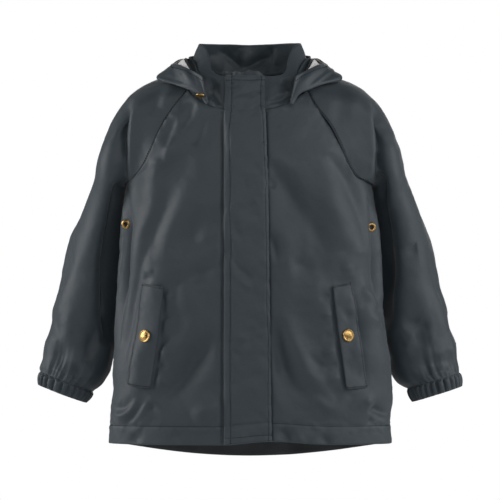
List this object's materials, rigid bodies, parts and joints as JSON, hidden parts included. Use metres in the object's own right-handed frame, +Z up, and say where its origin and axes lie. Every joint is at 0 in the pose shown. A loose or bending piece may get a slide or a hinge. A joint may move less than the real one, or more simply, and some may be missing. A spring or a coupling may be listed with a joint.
{
  "type": "hooded jacket",
  "caption": "Child's hooded rain jacket with raglan sleeves, storm flap and slanted pocket flaps, closed and filled out hollow as if worn.",
  "frame": {"origin": "on the neck's axis, level with the seam where the shoulders meet the neck", "axes": "+X to the wearer's left, -Y to the front, +Z up"},
  "size_m": [0.5576, 0.2192, 0.5393],
  "materials": {
    "cloth": "satin coated",
    "lining": "matt",
    "brass": "aged satin"
  },
  "bodies": {
    "root": {"front_right": "cloth", "front_left": "cloth", "back": "cloth", "sleeve_right": "cloth", "sleeve_left": "cloth", "cuff_right": "cloth", "cuff_left": "cloth", "collar": "cloth", "storm_flap": "cloth", "zip_tape": "cloth", "zip_guard": "cloth", "hood_shell": "cloth", "hood_lining": "lining", "hood_band": "cloth", "pocket_flap_right": "cloth", "pocket_flap_left": "cloth", "snap_right": "brass", "snap_left": "brass", "snap_hood": "brass", "eyelet_right": "brass", "eyelet_left": "brass"}
  },
  "joints": []
}
